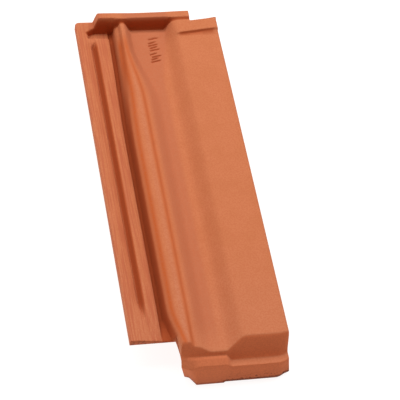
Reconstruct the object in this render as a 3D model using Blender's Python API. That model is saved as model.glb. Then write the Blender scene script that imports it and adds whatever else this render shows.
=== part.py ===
"""Half roof tile in fired clay, pressed in one piece.

The drawing frame has X across the tile from the outer edge of the lock rim, Y from the nose to the
head, and Z up from the ground that the tile rests on. At the end the mesh is moved so that the
middle of its footprint is the origin.

From left to right the long section has a rim, a narrow groove and a rib, which together are the
lock that the next tile covers, then a deep channel, a ridge, a trough and the flat panel that covers
the lock of the next tile. The head carries a raised lip and the nose turns down to a foot.
"""
import math

import bmesh
import bpy

# Overall size
LENGTH = 0.4727
WIDTH = 0.1725
PANEL_HEIGHT = 0.0485

# Lock: widths across the tile, and drops measured down from the top of the panel
RIM_WIDTH = 0.0150
RIM_DROP = 0.0116
RIM_FALL = 0.0018
RIM_ROUND = 0.0012
GROOVE_WIDTH = 0.0054
GROOVE_DEPTH = 0.0046
GROOVE_ROUND = 0.0008
GROOVE_TIP = 0.0016
RIB_WIDTH = 0.0144
RIB_DROP = 0.0120
RIB_FALL = 0.0028
CHANNEL_WIDTH = 0.0042
CHANNEL_DROP = 0.0220
WALL_RUN = 0.0010
FLANK_RUN = 0.0026
LOCK_UNDER = 0.0200

# Profile points of the lock: share of the width, and share of the depth or fall reached there
GROOVE_LEFT = ((0.12, 0.80), (0.30, 1.00))
GROOVE_RIGHT = ((0.58, 0.20), (0.82, 0.65))
RIB_PROFILE = ((0.30, 0.10), (0.75, 0.40), (0.93, 0.75), (1.00, 1.00))

# Ridge, trough and panel; shares are of the width from the ridge's left edge to the cover edge
SHOULDER_DROP = 0.0070
SHOULDER_LIFT = 0.0030
SHOULDER_WIDTH = 0.0105
RIDGE_DROP = 0.0010
RIDGE_WIDTH = 0.0076
RIDGE_STEP = 0.0024
RIDGE_STEP_WIDTH = 0.0050
RIDGE_GAP = 0.0014
SLOPE_SHARE = 0.1509
TROUGH_DEPTH = 0.0120
TROUGH_SHARE = 0.1033
RISE_SHARE = 0.1747
EDGE_LEAN = 0.0012

# Head of the ridge: it narrows to a blunt point in front of the lip, and the trough widens
NARROW_BACK = 0.1250
NARROW_LENGTH = 0.0850
HEAD_RIDGE_WIDTH = 0.0028
HEAD_TOP_WIDTH = 0.0010
HEAD_STEP_WIDTH = 0.0010
HEAD_GAP = 0.0004
HEAD_SLOPE_SHARE = 0.0953
HEAD_CUTBACK = 0.0068
HEAD_CUTBACK_BACK = 0.1950
HEAD_CUTBACK_LENGTH = 0.1800
HEAD_CUTBACK_FLANK = 0.45
HEAD_CUTBACK_WALL = 0.48
HEAD_RISE_BACK = 0.0500
HEAD_RISE_LENGTH = 0.0380
HEAD_RISE_START_SHARE = 0.4956
HEAD_RISE_END_SHARE = 0.5751
HEAD_DIP = 0.0030

# Ends of the lock: the groove runs out and the channel floor climbs before the tile's nose
LOCK_END = 0.0378
GROOVE_END = 0.0610
GROOVE_RUNOUT = 0.0280
GROOVE_START_GAP = 0.0270
GROOVE_START_RUN = 0.0120
PLATFORM_LENGTH = 0.0330
PLATFORM_FALL = 0.0020
CHANNEL_CLIMB = 0.0050
CUTBACK = 0.0090
CUTBACK_START = 0.0120
CUTBACK_END = 0.0720

# Nose: riser, ledge, foot and the step in the foot's bottom
NOSE_DROP = 0.0236
NOSE_DRAFT = 0.0055
LEDGE_LENGTH = 0.0077
RISER_RUN = 0.0158
RISER_ROUNDNESS = 0.60
TROUGH_LEDGE_LIFT = 0.0042
TROUGH_LEDGE_FALL = 0.0029
TROUGH_LEDGE_BACK = 0.0028
NOSE_STEP = 0.0026
NOSE_STEP_START = 0.0200
NOSE_STEP_END = 0.0700
FOOT_FLARE = 0.0040
FLARE_LENGTH = 0.0510
FOOT_STEP = 0.0025
FOOT_STEP_WIDTH = 0.0020
FOOT_THICKNESS = 0.0165
NOSE_BACK_RUN = 0.0185
LEFT_CORNER_WIDTH = 0.0105
LEFT_CORNER_DEPTH = 0.0042
LEFT_UNDERCUT = 0.0068
LEFT_UNDERCUT_WIDTH = 0.0330
LOCK_REACH = 0.0045
LEFT_FOOT_WIDTH = 0.0050
LEFT_FOOT_LEAD = 0.0017
LEFT_CUT_WIDTH = 0.0065
LEFT_CUT_DEPTH = 0.0093
RIGHT_CORNER_WIDTH = 0.0130
RIGHT_CORNER_DEPTH = 0.0045
RIGHT_CORNER_EXTRA = 0.0018
RISER_CORNER_EXTRA = -0.0028
SKIRT_LENGTH = 0.0540
SKIRT_FADE = 0.0400

# Head: gutter, lip, raised strip on the panel and its oblique cut-back
LIP_LENGTH = 0.0085
LIP_WALL_RUN = 0.0025
LIP_RISE = 0.0045
LIP_SAG = 0.0014
LIP_START = 0.0215
LIP_START_RUN = 0.0046
LIP_END_SHARE = 0.7379
GUTTER_LENGTH = 0.0125
GUTTER_DROP = 0.0195
GUTTER_START = 0.0118
GUTTER_START_RUN = 0.0042
GUTTER_WALL = 0.0012
GUTTER_SLANT = 0.56
STRIP_RISE = 0.0027
STRIP_LENGTH = 0.0154
STRIP_FACE = 0.0022
CUTBACK_LENGTH = 0.0180
OBLIQUE = 0.12
HEAD_CORNER = 0.0045

# Underside: shell, flange and rib of the cover side, rib under the head and the hanging nibs
SHELL = 0.0110
COVER_SHELL = 0.0095
CHANNEL_SHELL = 0.0085
FLANGE_WIDTH = 0.0036
FLANGE_DROP = 0.0190
COVER_RIB_BACK = 0.0222
COVER_RIB_WIDTH = 0.0030
COVER_RIB_DROP = 0.0150
UNDER_TAPER = 0.0015
HEAD_RIB_BACK = 0.0560
HEAD_RIB_LENGTH = 0.0240
HEAD_RIB_DEPTH = 0.0070
NIB_WIDTH = 0.0260
NIB_LENGTH = 0.0160
NIB_TAPER = 0.0030
NIB_BACK = 0.0520
NIB_LEFT_SHARE = 0.1064
NIB_RIGHT_SHARE = 0.5989
NIB_SINK = 0.0040

# Steps along the curved stretches of the mesh
CURVE_STEPS = 5
RISER_STEPS = 5
FIELD_STEPS = 7

# Slack for telling on which side of a mesh line a point lies
SLACK = 0.000002
CROSSING_TURNS = 12

# Fired clay
CLAY_COLOUR = (0.62, 0.21, 0.09, 1.0)
CLAY_ROUGHNESS = 0.85

# Places across the tile that follow from the widths
RIB_X = RIM_WIDTH + GROOVE_WIDTH
CHANNEL_X = RIB_X + RIB_WIDTH
FLANK_X = CHANNEL_X + WALL_RUN + CHANNEL_WIDTH
SHOULDER_X = FLANK_X + FLANK_RUN
EDGE_X = WIDTH - FOOT_FLARE
BODY_WIDTH = EDGE_X - SHOULDER_X
RIDGE_X = SHOULDER_X + SHOULDER_WIDTH
STEP_X = RIDGE_X + RIDGE_WIDTH
SLOPE_X = STEP_X + RIDGE_STEP_WIDTH + RIDGE_GAP
TROUGH_X = SLOPE_X + SLOPE_SHARE * BODY_WIDTH
RISE_X = TROUGH_X + TROUGH_SHARE * BODY_WIDTH
RISE_WIDTH = RISE_SHARE * BODY_WIDTH
PANEL_X = RISE_X + RISE_WIDTH
HEAD_RISE_START = SHOULDER_X + HEAD_RISE_START_SHARE * BODY_WIDTH
HEAD_RISE_END = SHOULDER_X + HEAD_RISE_END_SHARE * BODY_WIDTH
LIP_END = SHOULDER_X + LIP_END_SHARE * BODY_WIDTH
NIB_LEFT = SHOULDER_X + NIB_LEFT_SHARE * BODY_WIDTH
NIB_RIGHT = SHOULDER_X + NIB_RIGHT_SHARE * BODY_WIDTH
FLANGE_X = EDGE_X - FLANGE_WIDTH
COVER_RIB_X = EDGE_X - COVER_RIB_BACK
FOOT_STEP_X = RISE_X
LEFT_FOOT_X = SHOULDER_X + CUTBACK + LEFT_UNDERCUT

# Places along the tile that follow from the lengths
FOOT_Y = NOSE_DRAFT + LEDGE_LENGTH
LIP_Y = LENGTH - LIP_LENGTH
WALL_Y = LIP_Y - LIP_WALL_RUN
GUTTER_Y = WALL_Y - GUTTER_LENGTH
CUT_Y = LENGTH - CUTBACK_LENGTH
STRIP_Y = CUT_Y - STRIP_LENGTH
HEAD_RIB_Y = LENGTH - HEAD_RIB_BACK
GROOVE_START = LENGTH - GROOVE_START_GAP


def smooth(value, start, end):
    """Goes from 0 at start to 1 at end, level at both."""
    t = min(max((value - start) / (end - start), 0.0), 1.0)
    return t * t * (3.0 - 2.0 * t)


def mix(a, b, t):
    return a + (b - a) * t


def steps(start, end, count):
    """Places from start up to, and without, end."""
    return [mix(start, end, k / count) for k in range(count)]


def along(points, x):
    """Height at x of the straight-sided outline through the points."""
    for (x0, z0), (x1, z1) in zip(points, points[1:]):
        if x <= x1:
            return mix(z0, z1, max(x - x0, 0.0) / (x1 - x0))
    return points[-1][1]


def groove_open(y):
    """1 where the groove is whole and 0 past its two ends."""
    nose_end = smooth(y, GROOVE_END, GROOVE_END + GROOVE_RUNOUT)
    head_end = smooth(y, GROOVE_START - GROOVE_START_RUN, GROOVE_START)
    return nose_end * (1.0 - head_end)


def platform(y):
    """1 on the plain end of the lock and 0 along the rest of it."""
    return 1.0 - smooth(y, LOCK_END, LOCK_END + PLATFORM_LENGTH)


def head_cutback(y):
    """How far the ridge's left edge moves right towards the head."""
    start = LENGTH - HEAD_CUTBACK_BACK
    return HEAD_CUTBACK * smooth(y, start, start + HEAD_CUTBACK_LENGTH)


def shoulder_x(y):
    """Left edge of the ridge, cut back to the right near the nose and near the head."""
    return SHOULDER_X + CUTBACK * (1.0 - smooth(y, CUTBACK_START, CUTBACK_END)) + head_cutback(y)


def shoulder_height(y):
    """Height of the ridge's left edge, which climbs a little where it is cut back."""
    return -SHOULDER_DROP + SHOULDER_LIFT * (1.0 - smooth(y, CUTBACK_START, CUTBACK_END))


def on_lock(x, y):
    """Whether a place lies left of the ridge."""
    return x < shoulder_x(y) - SLACK


def channel_x(y):
    """Where the rib ends and the channel starts, further right near the head."""
    return CHANNEL_X + HEAD_CUTBACK_WALL * head_cutback(y)


def channel_floor(y):
    return -CHANNEL_DROP + CHANNEL_CLIMB * platform(y)


def lock_outline(y):
    """Points of the lock's top, from the rim's outer edge to the ridge's left edge."""
    opening = groove_open(y)
    rim_low = -RIM_DROP - RIM_FALL
    rib_high = -RIB_DROP - PLATFORM_FALL * platform(y)
    rib_low = rib_high - RIB_FALL
    right = RIB_X + GROOVE_ROUND
    left = mix(right - GROOVE_TIP, RIM_WIDTH, opening)
    floor = mix(0.5 * (rim_low + rib_high), rim_low - GROOVE_DEPTH, opening)
    edge, wall = shoulder_x(y), channel_x(y)
    flank = FLANK_RUN + HEAD_CUTBACK_FLANK * head_cutback(y)
    points = [
        (0.0, -RIM_DROP - RIM_ROUND),
        (RIM_ROUND, -RIM_DROP),
        (0.5 * RIM_WIDTH, -RIM_DROP),
        (left - 0.3 * (left - RIM_ROUND), -RIM_DROP - 0.4 * RIM_FALL),
        (left, rim_low),
    ]
    points += [(mix(left, right, run), mix(rim_low, floor, fall)) for run, fall in GROOVE_LEFT]
    points += [(mix(left, right, run), mix(floor, rib_high, climb)) for run, climb in GROOVE_RIGHT]
    points.append((right, rib_high))
    points += [(mix(RIB_X, wall, run), mix(rib_high, rib_low, fall)) for run, fall in RIB_PROFILE]
    points.append((wall + WALL_RUN, channel_floor(y)))
    return points + [(edge - flank, channel_floor(y)), (edge, shoulder_height(y))]


def narrow(y):
    """0 along the tile and 1 at the head, where the ridge ends in a blunt point."""
    start = LENGTH - NARROW_BACK
    return smooth(y, start, start + NARROW_LENGTH)


def head_rise(y):
    """0 along the tile and 1 at the head, where the panel's left side is steeper."""
    start = LENGTH - HEAD_RISE_BACK
    return smooth(y, start, start + HEAD_RISE_LENGTH)


def body_places(y):
    """Where the ridge's top, step and slope, the trough's floor, its rise and the panel start."""
    point = narrow(y)
    top = mix(RIDGE_X, SHOULDER_X + HEAD_CUTBACK + HEAD_RIDGE_WIDTH, point)
    step = top + mix(RIDGE_WIDTH, HEAD_TOP_WIDTH, point)
    step_end = step + mix(RIDGE_STEP_WIDTH, HEAD_STEP_WIDTH, point)
    slope = step_end + mix(RIDGE_GAP, HEAD_GAP, point)
    trough = slope + mix(SLOPE_SHARE, HEAD_SLOPE_SHARE, point) * BODY_WIDTH
    rise = mix(RISE_X, HEAD_RISE_START, head_rise(y))
    panel = mix(PANEL_X, HEAD_RISE_END, head_rise(y))
    return top, step, step_end, slope, trough, rise, panel


def body_height(x, y):
    """Ridge, trough and panel, down from the top of the panel."""
    top, step, step_end, slope, trough, rise, panel = body_places(y)
    edge = shoulder_x(y)
    t = min(max((x - edge) / (top - edge), 0.0), 1.0)
    height = -RIDGE_DROP + (shoulder_height(y) + RIDGE_DROP) * (1.0 - t) ** 2
    drop = RIDGE_STEP * (1.0 - narrow(y)) + NOSE_STEP * (1.0 - smooth(y, NOSE_STEP_START, NOSE_STEP_END))
    depth = TROUGH_DEPTH + HEAD_DIP * smooth(y, GUTTER_Y, WALL_Y)
    height -= drop * smooth(x, step, step_end)
    height -= (depth - RIDGE_DROP - drop) * smooth(x, slope, trough)
    height += depth * smooth(x, rise, panel)
    over = max(x - (EDGE_X - FLANGE_WIDTH), 0.0) / FLANGE_WIDTH
    return height - FLANGE_WIDTH * (1.0 - math.sqrt(1.0 - min(over, 1.0) ** 2))


def field_height(x, y):
    """The long section, without the head and the nose."""
    if on_lock(x, y):
        return along(lock_outline(y), x)
    return body_height(x, y)


def left_of_panel(x):
    """1 over the ridge and the trough and 0 over the panel."""
    return 1.0 - smooth(x, RISE_X, RISE_X + 0.35 * RISE_WIDTH)


def in_trough(x):
    """1 over the trough and 0 over the ridge and the panel."""
    return smooth(x, STEP_X, mix(SLOPE_X, TROUGH_X, 0.25)) * left_of_panel(x)


def right_corner(x, depth):
    """Setback of the rounded right corner of the nose."""
    t = max((x - EDGE_X + RIGHT_CORNER_WIDTH) / RIGHT_CORNER_WIDTH, 0.0)
    return depth * t ** 2


def front_y(x):
    """Front edge of the ledge, with its left corner cut and its right corner rounded."""
    t = max(1.0 - (x - shoulder_x(0.0)) / LEFT_CORNER_WIDTH, 0.0)
    return NOSE_DRAFT + LEFT_CORNER_DEPTH * min(t, 1.0) ** 1.3 + right_corner(x, RIGHT_CORNER_DEPTH)


def foot_front_y(x, across):
    """Front edge of the foot's bottom, for a point at x whose bottom end lies at across."""
    cut = LEFT_FOOT_X + LEFT_FOOT_WIDTH
    outline = [
        (LEFT_FOOT_X, LEFT_CUT_DEPTH + LEFT_FOOT_LEAD),
        (cut, LEFT_CUT_DEPTH),
        (cut + LEFT_CUT_WIDTH, 0.0),
        (WIDTH, 0.0),
    ]
    return along(outline, across) + right_corner(x, RIGHT_CORNER_DEPTH + RIGHT_CORNER_EXTRA)


def foot_y(x):
    """Line where the riser meets the ledge."""
    plain = FOOT_Y + TROUGH_LEDGE_BACK * left_of_panel(x) + right_corner(x, RIGHT_CORNER_DEPTH)
    return max(plain, front_y(x) + 0.2 * LEDGE_LENGTH)


def ledge_height(x, y):
    """Top of the ledge, which lies higher left of the panel and climbs there towards the riser."""
    front = TROUGH_LEDGE_LIFT * in_trough(x)
    back = (TROUGH_LEDGE_LIFT + TROUGH_LEDGE_FALL) * left_of_panel(x)
    return -NOSE_DROP + mix(front, back, min(max((y - front_y(x)) / LEDGE_LENGTH, 0.0), 1.0))


def riser_rise(t):
    """Share of the riser's height at a share of its run: rounded at its foot and at its top."""
    return mix(t, smooth(t, 0.0, 1.0), RISER_ROUNDNESS)


def crease_y(x):
    """Line where the riser meets the long section."""
    rise = field_height(min(x, FLANGE_X), 0.0) - ledge_height(x, foot_y(x))
    return foot_y(x) + rise * RISER_RUN / NOSE_DROP + right_corner(x, RISER_CORNER_EXTRA)


def strip_line(x):
    """Lead of the oblique lines on the panel's head over a straight line across the tile."""
    return OBLIQUE * max(x - RISE_X, 0.0)


def strip_height(x, y):
    lead = strip_line(x)
    face = smooth(y, STRIP_Y + lead - STRIP_FACE, STRIP_Y + lead)
    return STRIP_RISE * face * smooth(x, PANEL_X - 0.35 * RISE_WIDTH, PANEL_X)


def lip_height(x):
    """Top of the lip, with its curved left end and its low middle."""
    if x <= LIP_START:
        return -RIM_DROP
    t = min((x - LIP_START) / LIP_START_RUN, 1.0)
    across = min(max((x - LIP_START) / (LIP_END - LIP_START), 0.0), 1.0)
    top = LIP_RISE - LIP_SAG * math.sin(math.pi * across) ** 2
    return mix(-RIM_DROP, top, math.sin(0.5 * math.pi * t))


def wall_lag(x):
    """How far the gutter's head side lies back from the lip's wall, left of the lip."""
    return -GUTTER_SLANT * min(max(LIP_START - x, 0.0), LIP_START - GUTTER_START)


def gutter_height(x, y, height):
    """Cuts the gutter in front of the lip across the lock."""
    across = smooth(x, GUTTER_START, GUTTER_START + GUTTER_START_RUN)
    length = smooth(y, GUTTER_Y - GUTTER_WALL, GUTTER_Y)
    if not on_lock(x, y) or y > WALL_Y + wall_lag(x):
        return height
    return mix(height, min(height, -GUTTER_DROP), across * length)


def top_height(x, y):
    """Top of the tile, down from the top of the panel."""
    height = field_height(x, y)
    if y < crease_y(x) and not on_lock(x, y):
        foot = foot_y(x)
        if y <= foot:
            return ledge_height(x, y)
        return mix(ledge_height(x, foot), height, riser_rise((y - foot) / (crease_y(x) - foot)))
    height += strip_height(x, y)
    height = gutter_height(x, y, height)
    wall = WALL_Y + wall_lag(x)
    if y > wall:
        base = max(height, -GUTTER_DROP) if x > GUTTER_START else height
        return mix(base, max(lip_height(x), -RIM_DROP), min((y - wall) / LIP_WALL_RUN, 1.0))
    return height


def lines_across(y):
    """Places of the mesh lines across the tile, for a station at y."""
    lock = [x for x, z in lock_outline(y)]
    top, step, step_end, slope, trough, rise, panel = body_places(y)
    body = steps(lock[-1], top, CURVE_STEPS)[1:]
    body += steps(top, step, 2) + steps(step, step_end, 3) + [step_end]
    body += steps(slope, trough, CURVE_STEPS) + steps(trough, rise, 2)
    body += steps(rise, panel, CURVE_STEPS + 1)
    rib = [COVER_RIB_X - 0.5 * COVER_RIB_WIDTH - UNDER_TAPER, COVER_RIB_X - 0.5 * COVER_RIB_WIDTH]
    rib += [COVER_RIB_X + 0.5 * COVER_RIB_WIDTH, COVER_RIB_X + 0.5 * COVER_RIB_WIDTH + UNDER_TAPER]
    body += [panel, mix(PANEL_X, LIP_END, 0.6), LIP_END] + rib
    body += [mix(rib[-1], FLANGE_X, 0.5), FLANGE_X - UNDER_TAPER, FLANGE_X]
    body += [EDGE_X - 0.55 * FLANGE_WIDTH, EDGE_X - 0.15 * FLANGE_WIDTH, EDGE_X]
    return lock + body


def head_y(x):
    """Head edge of the tile, rounded at the outer corner of the rim."""
    inside = min(max(1.0 - x / HEAD_CORNER, 0.0), 1.0)
    return LENGTH - HEAD_CORNER * (1.0 - math.sqrt(1.0 - inside ** 2))


def lines_along(x):
    """Places of the mesh lines along the tile, for a line at x."""
    front, foot, crease = front_y(x), foot_y(x), crease_y(x)
    rows = [front, mix(front, foot, 0.3)] + steps(foot, crease, RISER_STEPS) + [crease]
    groove = GROOVE_END - 0.25 * GROOVE_RUNOUT
    rows += [mix(crease, LOCK_END, 0.5), LOCK_END, mix(LOCK_END, groove, 0.5)]
    rows += steps(groove, GROOVE_END + GROOVE_RUNOUT, 4)
    rows += steps(GROOVE_END + GROOVE_RUNOUT, LENGTH - NARROW_BACK, FIELD_STEPS)
    rows += steps(LENGTH - NARROW_BACK, HEAD_RIB_Y - UNDER_TAPER, 4)
    lead = strip_line(x)
    rib_end = HEAD_RIB_Y + HEAD_RIB_LENGTH
    rows += [HEAD_RIB_Y - UNDER_TAPER, HEAD_RIB_Y + UNDER_TAPER]
    rows += [mix(HEAD_RIB_Y, STRIP_Y, 0.6), STRIP_Y + lead - STRIP_FACE, STRIP_Y + lead]
    rows += [mix(STRIP_Y, GUTTER_Y, 0.3) + lead, GUTTER_Y - GUTTER_WALL + lead, GUTTER_Y + lead]
    rows += [CUT_Y + lead]
    past_lip = max(strip_line(x) - strip_line(LIP_END), 0.0) + wall_lag(x)
    head = head_y(x) + past_lip - wall_lag(x)
    rows += [WALL_Y + past_lip, LIP_Y + past_lip, mix(LIP_Y + past_lip, head, 0.5), head]
    return rows


def foot_bottom(x):
    """Lowest height of the nose: its left part stands lower than the right."""
    return -PANEL_HEIGHT + FOOT_STEP * smooth(x, FOOT_STEP_X, FOOT_STEP_X + FOOT_STEP_WIDTH)


def window(value, start, end, taper):
    """1 between start and end, falling to 0 over the taper outside them."""
    return smooth(value, start - taper, start) * (1.0 - smooth(value, end, end + taper))


def shell_under(x, y, top):
    """Underside of the plain shell and of what hangs along it."""
    if on_lock(x, y):
        keel = window(x, CHANNEL_X, shoulder_x(y), UNDER_TAPER) * (1.0 - platform(y))
        return mix(-LOCK_UNDER, -CHANNEL_DROP - CHANNEL_SHELL, keel)
    thickness = mix(SHELL, COVER_SHELL, smooth(x, RISE_X, PANEL_X))
    under = top - thickness
    rib = window(x, COVER_RIB_X - 0.5 * COVER_RIB_WIDTH, COVER_RIB_X + 0.5 * COVER_RIB_WIDTH, UNDER_TAPER)
    under = mix(under, min(under, -COVER_RIB_DROP), rib)
    flange = smooth(x, FLANGE_X - UNDER_TAPER, FLANGE_X)
    return mix(under, min(under, -FLANGE_DROP), flange)


def nose_under(x, y, under):
    """Lowers the underside to the foot of the nose and to the skirts beside it."""
    back = FOOT_THICKNESS + NOSE_BACK_RUN
    block = 1.0 - min(max((y - FOOT_THICKNESS) / NOSE_BACK_RUN, 0.0), 1.0)
    if y < back:
        under = mix(under, foot_bottom(x), block)
    left = window(x, shoulder_x(y), STEP_X, RIDGE_STEP_WIDTH / 3.0)
    fade = 1.0 - smooth(y, SKIRT_LENGTH, SKIRT_LENGTH + SKIRT_FADE)
    under = mix(under, min(under, foot_bottom(x)), left * fade)
    right_fade = 1.0 - smooth(y, FOOT_THICKNESS, FOOT_THICKNESS + NOSE_BACK_RUN + SKIRT_FADE)
    right = smooth(x, FLANGE_X - UNDER_TAPER, FLANGE_X)
    return mix(under, min(under, foot_bottom(x)), right * right_fade)


def under_point(x, y):
    """Underside point that belongs to the top point at x, y."""
    field = min(field_height(x, y), 0.0)
    under = shell_under(x, y, min(field, top_height(x, y)))
    head_rib = window(y, HEAD_RIB_Y, HEAD_RIB_Y + HEAD_RIB_LENGTH, 2.0 * UNDER_TAPER)
    between = window(x, SHOULDER_X, COVER_RIB_X - COVER_RIB_WIDTH, UNDER_TAPER)
    under = mix(under, min(under, -TROUGH_DEPTH - SHELL - HEAD_RIB_DEPTH), head_rib * between)
    under = nose_under(x, y, under)
    near = 1.0 - smooth(y, 0.0, FLARE_LENGTH)
    edge = shoulder_x(y)
    skirt = 1.0 - smooth(y, SKIRT_LENGTH, SKIRT_LENGTH + SKIRT_FADE)
    left = (LEFT_FOOT_X - edge) * skirt * (1.0 - smooth(x, edge, edge + LEFT_UNDERCUT_WIDTH))
    right = mix(EDGE_LEAN, FOOT_FLARE, near) * smooth(x, FLANGE_X, EDGE_X)
    if on_lock(x, y):
        left = LOCK_REACH * skirt * smooth(x, CHANNEL_X, edge - FLANK_RUN)
    across = x + left + right
    draft = front_y(x) - foot_front_y(x, across)
    return across, y - draft * max(1.0 - (y - front_y(x)) / FOOT_THICKNESS, 0.0), under


def clay():
    material = bpy.data.materials.new("fired_clay")
    material.use_nodes = True
    shader = material.node_tree.nodes["Principled BSDF"]
    shader.inputs["Base Color"].default_value = CLAY_COLOUR
    shader.inputs["Roughness"].default_value = CLAY_ROUGHNESS
    shader.inputs["Metallic"].default_value = 0.0
    return material


def kept(x, y):
    """Whether the tile has clay at the middle of a mesh face."""
    if y < LOCK_END and on_lock(x, y):
        return False
    return not (x > LIP_END and y > CUT_Y + strip_line(x))


def crossing(row, column):
    """Place in plan where a line across the tile meets a line along it: each bends with the other."""
    y = lines_along(RIDGE_X)[row]
    for turn in range(CROSSING_TURNS):
        x = lines_across(y)[column]
        y = lines_along(x)[row]
    return x, y


def plan_places():
    """Places in plan of the grid's vertices, row by row from the nose."""
    rows = range(len(lines_along(0.0)))
    columns = range(len(lines_across(0.0)))
    return [crossing(row, column) for row in rows for column in columns]


def tile_sheet(places):
    """Top of the tile as a shaped grid, cut to the tile's outline."""
    columns = len(lines_across(0.0))
    rows = len(places) // columns
    bm = bmesh.new()
    bmesh.ops.create_grid(bm, x_segments=columns - 1, y_segments=rows - 1, size=0.5)
    number = bm.verts.layers.int.new("number")
    for index, vert in enumerate(bm.verts):
        vert[number] = index
        x, y = places[index]
        vert.co = (x, y, PANEL_HEIGHT + top_height(x, y))
    outside = []
    for face in bm.faces:
        corners = [places[vert[number]] for vert in face.verts]
        x = sum(corner_x for corner_x, corner_y in corners) / 4.0
        y = sum(corner_y for corner_x, corner_y in corners) / 4.0
        if not kept(x, y):
            outside.append(face)
    bmesh.ops.delete(bm, geom=outside, context="FACES")
    return bm


def thicken(bm, places):
    """Extrudes the shaped sheet down to the underside, which closes the edges."""
    number = bm.verts.layers.int["number"]
    result = bmesh.ops.extrude_face_region(bm, geom=list(bm.faces), use_keep_orig=True)
    lower = [item for item in result["geom"] if isinstance(item, bmesh.types.BMVert)]
    for vert in lower:
        x, y = places[vert[number]]
        x, y, z = under_point(x, y)
        vert.co = (x, y, PANEL_HEIGHT + z)
    bmesh.ops.recalc_face_normals(bm, faces=bm.faces)


def nib(middle):
    """Hanging nib: a tapered block under the head with an upright face towards the nose."""
    top = PANEL_HEIGHT - TROUGH_DEPTH - SHELL - HEAD_RIB_DEPTH + NIB_SINK
    mesh = bpy.data.meshes.new("nib")
    bm = bmesh.new()
    bmesh.ops.create_cube(bm, size=1.0)
    for vert in bm.verts:
        low = vert.co.z < 0.0
        taper = NIB_TAPER if low else 0.0
        x = middle + vert.co.x * (NIB_WIDTH - 2.0 * taper)
        back = vert.co.y > 0.0
        y = LENGTH - NIB_BACK + (NIB_LENGTH - taper if back else 0.0)
        vert.co = (x, y, 0.0 if low else top)
    bm.to_mesh(mesh)
    bm.free()
    obj = bpy.data.objects.new("nib", mesh)
    bpy.context.collection.objects.link(obj)
    obj.display_type = "WIRE"
    obj.hide_render = True
    return obj


def half_tile():
    places = plan_places()
    bm = tile_sheet(places)
    thicken(bm, places)
    mesh = bpy.data.meshes.new("half_tile")
    bm.to_mesh(mesh)
    bm.free()
    obj = bpy.data.objects.new("half_tile", mesh)
    bpy.context.collection.objects.link(obj)
    obj.data.materials.append(clay())
    for middle in (NIB_LEFT, NIB_RIGHT):
        joined = obj.modifiers.new("nib", "BOOLEAN")
        joined.operation = "UNION"
        joined.solver = "EXACT"
        joined.object = nib(middle)
        joined.object.location = (-0.5 * WIDTH, -0.5 * LENGTH, 0.0)
    obj.location = (-0.5 * WIDTH, -0.5 * LENGTH, 0.0)
    return obj


def main():
    for obj in list(bpy.data.objects):
        bpy.data.objects.remove(obj)
    half_tile()


main()
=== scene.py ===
"""Half roof tile in fired clay, pressed in one piece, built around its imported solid.

The shape functions use a drawing frame: X across the tile from the outer edge of the lock rim, Y from
the nose to the head, and heights down from the top of the flat panel. The finished mesh is moved so
that the middle of its footprint is the origin and its foot stands on the floor.
"""
import math

import bmesh
import bpy
import numpy as np
from mathutils import Matrix, Vector, noise


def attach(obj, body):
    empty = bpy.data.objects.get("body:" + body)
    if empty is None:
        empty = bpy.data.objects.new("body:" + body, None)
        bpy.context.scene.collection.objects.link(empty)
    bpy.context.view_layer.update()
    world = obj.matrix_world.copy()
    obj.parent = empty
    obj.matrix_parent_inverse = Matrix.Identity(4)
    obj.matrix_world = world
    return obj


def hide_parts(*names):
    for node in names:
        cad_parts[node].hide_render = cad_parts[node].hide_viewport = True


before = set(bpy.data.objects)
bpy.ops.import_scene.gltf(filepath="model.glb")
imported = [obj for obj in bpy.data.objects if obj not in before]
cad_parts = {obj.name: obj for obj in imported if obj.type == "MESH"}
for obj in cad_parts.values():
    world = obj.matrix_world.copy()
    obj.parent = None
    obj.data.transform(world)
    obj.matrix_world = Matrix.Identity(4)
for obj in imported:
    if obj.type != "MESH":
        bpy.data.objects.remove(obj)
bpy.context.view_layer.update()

bl_info = {
    "name": "Clay half roof tile",
    "version": (1, 0, 0),
    "blender": (4, 5, 0),
    "location": "3D View > Sidebar > Half tile",
    "description": "Builds a clay half roof tile with its relief, its material and a plain stage",
    "category": "Add Mesh",
}

# Overall size
LENGTH = 0.4727
WIDTH = 0.1725
PANEL_HEIGHT = 0.0485

# Lock: widths across the tile, and drops measured down from the top of the panel
RIM_WIDTH = 0.015
RIM_DROP = 0.0116
RIM_FALL = 0.0018
RIM_ROUND = 0.0012
GROOVE_WIDTH = 0.0054
GROOVE_DEPTH = 0.0046
GROOVE_ROUND = 0.0008
GROOVE_TIP = 0.0016
RIB_WIDTH = 0.0144
RIB_DROP = 0.012
RIB_FALL = 0.0028
CHANNEL_WIDTH = 0.0042
CHANNEL_DROP = 0.022
WALL_RUN = 0.001
FLANK_RUN = 0.0026
LOCK_UNDER = 0.02

# Profile points of the lock: share of the width, and share of the depth or fall reached there
GROOVE_LEFT = ((0.12, 0.80), (0.30, 1.00))
GROOVE_RIGHT = ((0.58, 0.20), (0.82, 0.65))
RIB_PROFILE = ((0.30, 0.10), (0.75, 0.40), (0.93, 0.75), (1.00, 1.00))

# Ridge, trough and panel; shares are of the width from the ridge's left edge to the cover edge
SHOULDER_DROP = 0.007
SHOULDER_LIFT = 0.003
SHOULDER_WIDTH = 0.0105
RIDGE_DROP = 0.001
RIDGE_WIDTH = 0.0076
RIDGE_STEP = 0.0024
RIDGE_STEP_WIDTH = 0.005
RIDGE_GAP = 0.0014
SLOPE_SHARE = 0.1509
TROUGH_DEPTH = 0.012
TROUGH_SHARE = 0.1033
RISE_SHARE = 0.1747
RISE_PART = 0.35
EDGE_LEAN = 0.0012

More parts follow.
